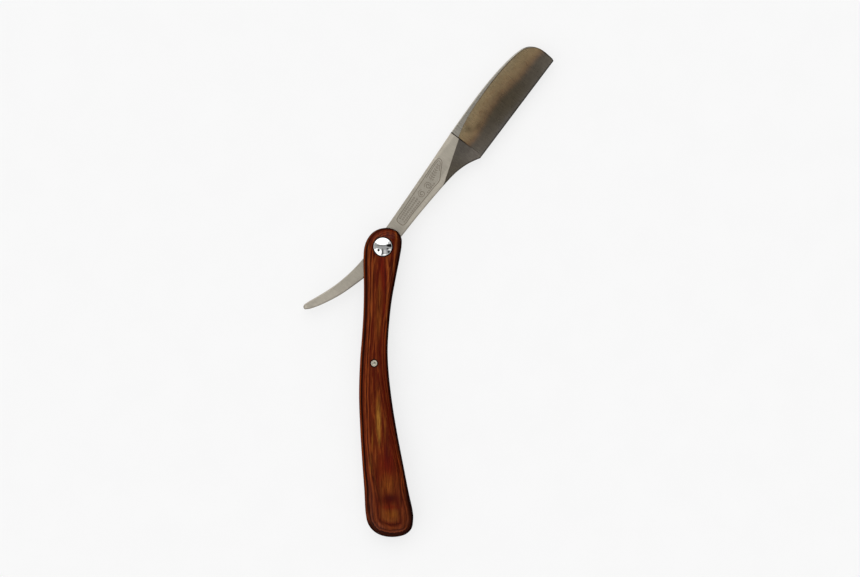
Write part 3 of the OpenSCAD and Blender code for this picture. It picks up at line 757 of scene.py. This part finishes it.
def scale_mesh():
    """Domed scale standing on z = 0: rings that follow the outline, then a patch over the middle."""
    left, foot, right, head = split_outline()
    nl, nf = 330, 40
    ring0 = np.concatenate([at_fractions(left, np.linspace(0, 1, nl))[:-1], at_fractions(foot, np.linspace(0, 1, nf))[:-1],
                            at_fractions(right, np.linspace(0, 1, nl))[:-1], at_fractions(head, np.linspace(0, 1, nf))[:-1]])
    k = len(ring0)
    steps = [0, 0.01, 0.03, 0.07, 0.13, 0.21, 0.32, 0.46, 0.64, 0.86, 1.12, 1.42, 1.76, 2.14, 2.56, 3.0, 3.46, 3.9]
    rings = [inset(ring0, d) for d in steps]
    # the middle patch is spanned between the four sides of the innermost ring
    inner = rings[-1]
    sides = [inner[:nl], inner[nl - 1:nl + nf - 1], inner[nl + nf - 2:2 * nl + nf - 2][::-1],
             np.concatenate([inner[2 * nl + nf - 3:], inner[:1]])[::-1]]
    u, v = np.linspace(0, 1, nl), np.linspace(0, 1, nf)
    def curve(q, pts):
        return lambda f: np.stack([np.interp(f, q, pts[:, i]) for i in (0, 1)], -1)
    grid = coons(curve(u, sides[0]), curve(u, sides[2]), curve(v, sides[3]), curve(v, sides[1]),
                 *np.meshgrid(u, v, indexing="ij"))
    verts, faces = [], []
    def add(xy, z):
        start = len(verts)
        verts.extend(np.c_[xy, np.broadcast_to(z, (len(xy),))].tolist())
        return start
    base = add(ring0, 0.0)
    starts = [add(r, crown(np.full(k, d))) for r, d in zip(rings, steps)]
    mid = grid[1:-1, 1:-1].reshape(-1, 2)
    g0 = add(mid, crown(distance_to(mid, ring0)))
    for i in range(k):
        faces.append([base + i, base + (i + 1) % k, starts[0] + (i + 1) % k, starts[0] + i])
        for a in range(len(starts) - 1):
            faces.append([starts[a] + i, starts[a] + (i + 1) % k, starts[a + 1] + (i + 1) % k, starts[a + 1] + i])
    def gid(last, mid0, i, j):
        if j == 0: return last + i
        if i == nl - 1: return last + nl - 1 + j
        if j == nf - 1: return last + nl + nf - 2 + (nl - 1 - i)
        if i == 0: return last + (2 * nl + nf - 3 + (nf - 1 - j)) % k
        return mid0 + (i - 1) * (nf - 2) + j - 1
    # flat inner face: its own ring just inside the rim, then the same patch
    low = add(inset(ring0, 0.3), 0.0)
    low_in = add(inner, 0.0)
    low_mid = add(mid, 0.0)
    for i in range(k):
        e = (i + 1) % k
        faces.append([base + e, base + i, low + i, low + e])
        faces.append([low + e, low + i, low_in + i, low_in + e])
    for i in range(nl - 1):
        for j in range(nf - 1):
            faces.append([gid(starts[-1], g0, i, j), gid(starts[-1], g0, i + 1, j), gid(starts[-1], g0, i + 1, j + 1), gid(starts[-1], g0, i, j + 1)])
            faces.append([gid(low_in, low_mid, i, j + 1), gid(low_in, low_mid, i + 1, j + 1), gid(low_in, low_mid, i + 1, j), gid(low_in, low_mid, i, j)])
    return np.array(verts), faces


def cutter(profile, centre):
    verts, faces = lathe(profile, centre, 128)
    me = bpy.data.meshes.new("cutter")
    me.from_pydata([tuple(c * MM for c in v) for v in verts], [], faces)
    ob = bpy.data.objects.new("cutter", me)
    bpy.context.scene.collection.objects.link(ob)
    return ob


def cut(ob, tools):
    for t in tools:
        m = ob.modifiers.new("hole", "BOOLEAN")
        m.operation, m.solver, m.object = "DIFFERENCE", "EXACT", t
        dg = bpy.context.evaluated_depsgraph_get()
        new = bpy.data.meshes.new_from_object(ob.evaluated_get(dg))
        ob.modifiers.clear()
        old, ob.data = ob.data, new
        new.name = ob.name
        bpy.data.meshes.remove(old)
        bpy.data.objects.remove(t)


def make_scale(name, node, front, material):
    verts, faces = scale_mesh()
    if front:
        verts[:, 2] += INNER_HIGH
        out, top = 1, TOP
    else:
        verts[:, 2] = INNER_LOW - verts[:, 2]
        faces = [f[::-1] for f in faces]
        out, top = -1, 0.0
    ob = mesh_piece(name, verts.tolist(), faces, "handle", material, (node,))
    def turned(steps, centre):
        pr = [(r, top - out * z) for r, z in steps]
        return cutter(pr if out < 0 else pr[::-1], centre)
    # stepped pivot hole with a lightly broken edge, and the pin's hole
    cut(ob, [turned([(0, -1), (5.05, -1), (5.05, -0.05), (4.9, 0.15), (4.9, 1.2), (2.27, 1.2), (2.27, 4.2), (0, 4.2)], PIVOT),
             turned([(0, -1), (1.9, -1), (1.9, -0.06), (1.72, 0.12), (1.72, 0.5), (1.22, 0.5), (1.22, 4.2), (0, 4.2)], PIN)])
    smooth(ob, 28)
    keep_rim(ob, outline, True, False)
    return ob


front = make_scale("scale_front", "front_scale", True, wood_front)
back = make_scale("scale_back", "back_scale", False, wood_back)

# ---------------------------------------------------------------- tang and blade

c53, s53 = math.cos(OPEN), math.sin(OPEN)


def swing(verts):
    """From the blade's own frame, centred on z = 0, to the stored pose."""
    v = np.array(verts)
    return np.c_[PIVOT[0] + v[:, 0] * c53 - v[:, 1] * s53, PIVOT[1] + v[:, 0] * s53 + v[:, 1] * c53, v[:, 2] + MID]


TANG_HALF = (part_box("tang")[1].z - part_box("tang")[0].z) / MM / 2
BLADE_HALF = (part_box("blade")[1].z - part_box("blade")[0].z) / MM / 2


def tang_grind(p):
    d = (p[:, 1] + GRIND[1]) * math.cos(TURN) - (p[:, 0] - GRIND[0]) * math.sin(TURN)
    d = np.clip(d, 0, 51)
    return 52.1 - np.sqrt(52.0 ** 2 - d ** 2)


def tang_half(p):
    return np.minimum(TANG_HALF, tang_grind(p))


def hollow(y):
    return 0.08 + 80 - np.sqrt(6400 - np.clip(y - EDGE_Y, 0, 60) ** 2)


def blade_strip(p):
    return BLADE_HALF - hollow(6.2) + hollow(np.interp(p[:, 0], crease_line[:, 0], crease_line[:, 1]))


def blade_hollow(p):
    return np.minimum(hollow(p[:, 1]), 0.02 + 0.15 * np.clip(p[:, 1] - EDGE_Y, 0, 60))


def blade_half(p):
    return np.minimum(blade_strip(p), blade_hollow(p))


def rows(strip, ground, below, above, least=0.004):
    """Column fractions for one rung, with one column exactly on the grind line."""
    def v_of(i, point_at, outer):
        at = point_at or outer(i)
        q = np.linspace(0, 1, 400)
        p = at(q)
        over = ground(p) >= strip(p)
        t = q[np.argmax(over)] if over.any() else 1 - least
        if over.any() and 0 < t:
            lo, hi = max(t - q[1], 0), t
            for _ in range(24):
                m = (lo + hi) / 2
                pm = at(np.array([m]))
                if (ground(pm) >= strip(pm))[0]: hi = m
                else: lo = m
            t = (lo + hi) / 2
        t = min(max(t, least), 1 - least)
        return np.concatenate([below * t, t + (1 - t) * above[1:]])
    return v_of


# tang: tail tip round to the weld
tang_top = smooth_line(TANG_BACK, 24)
tang_low = smooth_line(TANG_BELLY, 24)[::-1]
tip = np.concatenate([tang_low[:1], tang_top[:1]])
cut_low = 30                                     # leave the tip's round to the patch's end side
full = np.concatenate([tang_low[::-1], tang_top])    # belly, tip, back
fl = lambda pts: (lambda f: at_fractions(pts, f))
tip_side = np.concatenate([tang_low[:26][::-1], tang_top[:60]])
low_side = np.concatenate([tang_low[25:], [[WELD_X, EDGE_Y]]])
top_side = tang_top[59:]
weld_side = np.array([[WELD_X, EDGE_Y], [WELD_X, 7.3]])
u_t = np.linspace(0, 1, 220)
below_t = np.linspace(0, 1, 15)
above_t = np.linspace(0, 1, 19)
t_rows = rows(lambda p: np.full(len(p), TANG_HALF), tang_grind, below_t, above_t)


def outer_t(i):
    return fl(tip_side) if i == 0 else fl(weld_side)


def tang_round(p):
    r = np.where(p[:, 0] < -20, 0.55, 0.42)
    return np.where(p[:, 0] > WELD_X - 0.01, 0.16, r)


tv, tf = plate(fl(low_side), fl(top_side), fl(tip_side), fl(weld_side), u_t,
               lambda i, at: t_rows(i, at, outer_t), tang_round, tang_half, lambda p: -tang_half(p))


def add_bore(ob):
    b = cutter([(0, MID - 3), (2.3, MID - 3), (2.3, MID + 3), (0, MID + 3)], PIVOT)
    cut(ob, [b])
    smooth(ob, 9)


tang = mesh_piece("tang_steel", swing(tv).tolist(), tf, "blade", steel_satin, ("tang",), 9)
add_bore(tang)
keep_rim(tang, np.concatenate([[[WELD_X, EDGE_Y]], full]), False, True)

# blade: weld, edge, toe and nose, back
nose = smooth_line(BLADE_BACK, 24)
cut_at = int(np.argmin(np.abs(nose[:, 1] + 10.2) + (nose[:, 0] < 120) * 99))
b_top, b_toe = nose[:cut_at + 1], nose[cut_at:][::-1]
b_low = np.array([[WELD_X, EDGE_Y], [125.6, EDGE_Y]])
b_weld = weld_side
u_b = np.linspace(0, 1, 170)
below_b = np.r_[0, 0.008, 0.02, np.linspace(0.05, 1, 30)]
above_b = np.linspace(0, 1, 9)
b_rows = rows(blade_strip, blade_hollow, below_b, above_b, 0.004)


def outer_b(i):
    return fl(b_weld) if i == 0 else fl(b_toe)


def blade_round(p):
    r = np.where(p[:, 1] < EDGE_Y + 0.02, 0.02, np.where(p[:, 0] > 112, 0.6, 0.42))
    return np.where(p[:, 0] < WELD_X + 0.01, 0.16, r)


bv, bf = plate(fl(b_low), fl(b_top), fl(b_weld), fl(b_toe), u_b,
               lambda i, at: b_rows(i, at, outer_b), blade_round, blade_half, lambda p: -blade_half(p))
blade = mesh_piece("blade_steel", swing(bv).tolist(), bf, "blade", steel_ground, ("blade",), 9)
keep_rim(blade, np.concatenate([nose, [[WELD_X, EDGE_Y]]]), False, True)

# ---------------------------------------------------------------- etched panel on the shank


def ribbon(points, width, z, taper=None):
    """Flat strip of metal 0.02 mm deep that follows points in the blade's own frame."""
    p = np.asarray(points, float)
    d = np.gradient(p, axis=0)
    d /= np.maximum(np.linalg.norm(d, axis=1), 1e-9)[:, None]
    n = np.c_[-d[:, 1], d[:, 0]]
    w = np.full(len(p), width / 2) if taper is None else width / 2 * taper
    verts = np.concatenate([np.c_[p + n * w[:, None], np.full(len(p), z)], np.c_[p - n * w[:, None], np.full(len(p), z)],
                            np.c_[p - n * w[:, None], np.full(len(p), z - 0.02)], np.c_[p + n * w[:, None], np.full(len(p), z - 0.02)]])
    m = len(p)
    faces = []
    for i in range(m - 1):
        for a, b in ((0, 1), (1, 2), (2, 3), (3, 0)):
            faces.append([a * m + i, b * m + i, b * m + i + 1, a * m + i + 1])
    faces.append([0, 3 * m, 2 * m, m])
    faces.append([m - 1, 2 * m - 1, 3 * m - 1, 4 * m - 1])
    return verts.tolist(), faces


def etching():
    """Purely ornamental panel: a border, rows of beads, two scrolls and a leafy sprig."""
    z = TANG_HALF + 0.012
    parts = []
    border = smooth_line([[15.4, 2.75], [21.3, 3.1], [28, 3.55], [34.7, 3.95], [41.3, 4.35], [46.5, 4.65], [50.8, 4.75], [52.1, 4.3],
        [52.3, 3.4], [51.8, 2.2], [50.2, 1.1], [47.3, -0.5], [44.6, -2.1], [43.4, -2.6], [38, -2.35], [31.3, -2.15], [21.3, -1.8],
        [16, -1.95], [14.7, -1.4], [14.4, 0.3], [14.6, 2.1]], 10, closed=True)
    parts.append((np.concatenate([border, border[:2]]), 0.34, None))
    inner = smooth_line([[40.6, 3.45], [44, 3.75], [48, 4.0], [50.4, 4.05], [51.2, 3.6], [51.1, 2.7], [49.8, 1.8], [47.2, 0.4]], 10)
    parts.append((inner, 0.26, None))
    # three rows of beads
    for row, (y0, lean) in enumerate(((1.75, 0.045), (0.35, 0.03), (-1.0, 0.0))):
        for k in range(12):
            cx = 16.6 + 1.12 * k + 0.3 * (row % 2)
            cy = y0 + lean * (cx - 16)
            a = np.linspace(0, 2 * math.pi, 13)
            parts.append((np.c_[cx + 0.30 * np.cos(a), cy + 0.34 * np.sin(a)], 0.22, None))
    # two large scrolls
    for cx, cy, r, way, start in ((32.9, 0.5, 2.05, 1, 0.7), (38.0, 0.4, 1.95, -1, 2.6)):
        a = np.linspace(0, 3.3 * math.pi, 70)
        rad = r * (1 - a / (4.2 * math.pi))
        parts.append((np.c_[cx + rad * np.cos(way * a + start), cy + rad * np.sin(way * a + start)], 0.34, np.linspace(0.6, 1.1, 70)))
    for k in range(6):
        a = np.linspace(0, 2 * math.pi, 13)
        parts.append((np.c_[35.3 + 1.05 * k + 0.24 * np.cos(a), -1.45 + 0.26 * np.sin(a)], 0.2, None))
    # a sprig of paired leaves, up to the far end
    mid = lambda q: 1.05 + (q - 41) * 0.185
    x = np.linspace(40.9, 50.2, 30)
    parts.append((np.c_[x, mid(x)], 0.2, np.clip((50.6 - x) / 2.0, 0.4, 1)))
    for k in range(7):
        t = np.linspace(0, 1, 12)
        size = 1.0 - 0.07 * k
        for up in (1, -1):
            along = 41.3 + 1.28 * k + 0.8 * t * size
            leaf = np.c_[along, mid(along) + up * size * (0.38 + 1.15 * t - 0.2 * t * t)]
            parts.append((leaf, 0.36, np.clip(np.minimum(t * 4 + 0.4, (1.1 - t) * 4), 0.3, 1)))
    verts, faces = [], []
    for pts, w, taper in parts:
        v, f = ribbon(pts, w, z, taper)
        o = len(verts)
        verts += v
        faces += [[i + o for i in q] for q in f]
    return mesh_piece("shank_etching", swing(verts).tolist(), faces, "blade", steel_etched, (), 40)


etching()

# ---------------------------------------------------------------- pivot and pins


def pivot_head():
    lo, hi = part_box("pivot_barrel")
    r, top, rim = (hi.x - lo.x) / 2 / MM, hi.z / MM, TOP
    rise = top - rim
    dome = (r * r + rise * rise) / (2 * rise)
    seat = TOP - 1.2
    r -= 0.08
    flank, edge = 0.30, r - 0.30
    dome_at = lambda x: top - dome + math.sqrt(dome * dome - x * x)
    pr = [(0, INNER_LOW - 1.8), (2.25, INNER_LOW - 1.8), (2.25, seat), (r - 0.1, seat), (r, seat + 0.1)]
    # the rim is rounded over so far that it turns towards the wood
    low = dome_at(edge) - 0.34
    for t in np.linspace(0, math.pi / 2, 9)[:-1]:
        pr.append((edge + flank * math.cos(t), low + 0.34 * math.sin(t)))
    for q in np.linspace(1, 0, 40):
        pr.append((edge * q, dome_at(edge * q)))
    verts, faces = lathe(pr, PIVOT, 160)
    return mesh_piece("pivot_head", verts, faces, "handle", steel_pivot, ("pivot_barrel",), 35)


pivot_head()


def pin_shape():
    """Pin riveted over at both ends: low peened heads, each with a punch mark a little off centre."""
    lo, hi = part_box("middle_pin")
    z0, z1, r = lo.z / MM, hi.z / MM, (hi.x - lo.x) / 2 / MM
    half = []
    for t in np.linspace(0, math.pi / 2, 7):
        half.append((r - 0.25 * (1 - math.cos(t)), 0.25 * (1 - math.sin(t))))
    face = [(q, 0.02 * (q / r) ** 2 - 0.0) for q in np.linspace(r - 0.3, 0.62, 6)]
    mark = [(q, 0.30 * (1 - (q / 0.62) ** 2)) for q in np.linspace(0.55, 0, 8)]
    down = [(q, z0 + d) for q, d in (mark[::-1] + face[::-1] + half[::-1])]
    up = [(q, z1 - d) for q, d in (half + face + mark)]
    mid = [(r, z0 + 0.45), (1.2, z0 + 0.45), (1.2, z1 - 0.45), (r, z1 - 0.45)]
    verts, faces = lathe(down + mid + up, PIN, 96)
    v = np.array(verts)
    # the punch mark sits a little off the pin's centre
    d = np.hypot(v[:, 0] - PIN[0], v[:, 1] - PIN[1])
    w = np.clip(1 - d / 1.3, 0, 1) * ((v[:, 2] < z0 + 0.4) | (v[:, 2] > z1 - 0.4))
    v[:, 0] += 0.22 * w
    v[:, 1] += 0.18 * w
    return mesh_piece("pin_middle", v.tolist(), faces, "handle", pin_metal, ("middle_pin",), 40)


pin_shape()

# the plain turned and hidden pieces keep their CAD shape
for node, material in (("heel_wedge", spacer), ("pivot_screw", steel_screw), ("front_thrust_washer", brass),
                       ("back_thrust_washer", brass), ("stop_sleeve", pin_metal)):
    ob = frame["nodes"][node]
    ob.data.materials.clear()
    ob.data.materials.append(material)

# ---------------------------------------------------------------- floor, light and camera

me = bpy.data.meshes.new("floor")
S = 3.0
me.from_pydata([(-S, -S, -0.00002), (S, -S, -0.00002), (S, S, -0.00002), (-S, S, -0.00002)], [], [[0, 1, 2, 3]])
floor = bpy.data.objects.new("floor", me)
bpy.context.scene.collection.objects.link(floor)
g = Nodes("floor")
paper = g.noise(g.millimetres(), (0.05, 0.05, 0.05), 3.0, 0.5)
me.materials.append(g.done(g.ramp(paper, [(0.3, (0.20, 0.20, 0.20)), (0.7, (0.21, 0.21, 0.21))]), 0.9, 0.0, Specular_IOR_Level=0.0,
                           Emission_Color=(1, 1, 1, 1), Emission_Strength=0.74))

world = bpy.data.worlds.new("studio")
bpy.context.scene.world = world
world.use_nodes = True
wt = world.node_tree
wt.nodes.clear()


def wnode(kind, **props):
    n = wt.nodes.new(kind)
    for k, v in props.items():
        setattr(n, k, v)
    return n


def wmath(op, a, b=None, c=None, clamp=False):
    n = wnode("ShaderNodeMath", operation=op, use_clamp=clamp)
    for s, v in zip(n.inputs, (a, b, c)):
        if isinstance(v, bpy.types.NodeSocket):
            wt.links.new(v, s)
        elif v is not None:
            s.default_value = v
    return n.outputs[0]


def wspan(v, lo, hi, a, b):
    n = wnode("ShaderNodeMapRange", interpolation_type="SMOOTHSTEP", clamp=True)
    for s, x in zip(n.inputs, (v, lo, hi, a, b)):
        if isinstance(x, bpy.types.NodeSocket):
            wt.links.new(x, s)
        else:
            s.default_value = x
    return n.outputs[0]


tc = wnode("ShaderNodeTexCoord")
sep = wnode("ShaderNodeSeparateXYZ")
wt.links.new(tc.outputs["Generated"], sep.inputs[0])
dx, dy, dz = sep.outputs
# a soft room: brighter to the left and the far side, weaker to the right
side = wspan(dx, -0.80, 0.60, 1.40, 0.66)
far = wspan(dy, -0.5, 0.8, 0.95, 1.2)
room = wmath("MULTIPLY", side, far)


def spot(cx, cy, rx, ry, edge=0.35):
    """1 inside an ellipse of directions, falling to 0 across its soft edge."""
    u = wmath("DIVIDE", wmath("SUBTRACT", dx, cx), rx)
    v = wmath("DIVIDE", wmath("SUBTRACT", dy, cy), ry)
    d = wmath("SQRT", wmath("ADD", wmath("MULTIPLY", u, u), wmath("MULTIPLY", v, v)))
    m = wspan(d, 1 - edge, 1 + edge, 1.0, 0.0)
    return wmath("MULTIPLY", m, wspan(dz, 0.1, 0.3, 0.0, 1.0))


def lay(under, mask, strength):
    """The light of one thing in the room laid over what is behind it."""
    return wmath("MULTIPLY_ADD", wmath("SUBTRACT", strength, under), mask, under)


L = room
# straight above hangs a grey ceiling; round it stand white screens, dark gaps and a lamp stand
L = lay(L, spot(0.0, -0.10, 0.74, 0.60, 0.12), 0.42)
L = lay(L, spot(-0.03, 0.50, 0.56, 0.35, 0.08), 1.9)
L = lay(L, spot(-0.14, 0.10, 0.32, 0.045, 0.5), 0.18)
L = lay(L, spot(0.44, 0.30, 0.14, 0.10, 0.3), 0.75)
L = lay(L, spot(0.47, 0.11, 0.24, 0.11, 0.25), 0.01)
L = lay(L, spot(0.33, -0.12, 0.09, 0.05, 0.4), 0.02)
L = lay(L, spot(0.52, -0.17, 0.17, 0.055, 0.3), 1.0)
L = lay(L, spot(0.43, -0.33, 0.13, 0.08, 0.35), 0.02)
L = lay(L, spot(-0.38, -0.34, 0.28, 0.25, 0.12), 1.7)
L = lay(L, spot(-0.31, -0.21, 0.085, 0.10, 0.4), 0.02)
L = lay(L, spot(-0.03, -0.34, 0.05, 0.24, 0.4), 0.10)
L = lay(L, spot(0.13, -0.32, 0.09, 0.13, 0.4), 0.68)
L = lay(L, spot(0.16, -0.56, 0.20, 0.08, 0.3), 1.5)
L = wmath("MULTIPLY", L, 0.95)
bg = wnode("ShaderNodeBackground")
wt.links.new(L, bg.inputs["Strength"])
bg.inputs["Color"].default_value = (1, 1, 1, 1)
plain = wnode("ShaderNodeBackground")
plain.inputs["Color"].default_value = (0.93, 0.93, 0.93, 1)
plain.inputs["Strength"].default_value = 1.0
lp = wnode("ShaderNodeLightPath")
mixs = wnode("ShaderNodeMixShader")
wt.links.new(lp.outputs["Is Camera Ray"], mixs.inputs[0])
wt.links.new(bg.outputs[0], mixs.inputs[1])
wt.links.new(plain.outputs[0], mixs.inputs[2])
wo = wnode("ShaderNodeOutputWorld")
wt.links.new(mixs.outputs[0], wo.inputs[0])

cam = bpy.data.cameras.new("camera")
cam.lens, cam.sensor_width, cam.clip_start, cam.clip_end = 100, 36, 0.01, 20
co = bpy.data.objects.new("camera", cam)
bpy.context.scene.collection.objects.link(co)
WIDE = 0.430                                      # what the picture spans across, at the razor's height
co.location = (PIVOT[0] * MM + 0.0235, PIVOT[1] * MM - 0.02075, MID * MM + WIDE / 36 * 100)
co.rotation_euler = (0, 0, 0)
bpy.context.scene.camera = co
vs = bpy.context.scene.view_settings
vs.view_transform = "Standard"
vs.look = "None"
vs.exposure = 0.0
vs.gamma = 1.0
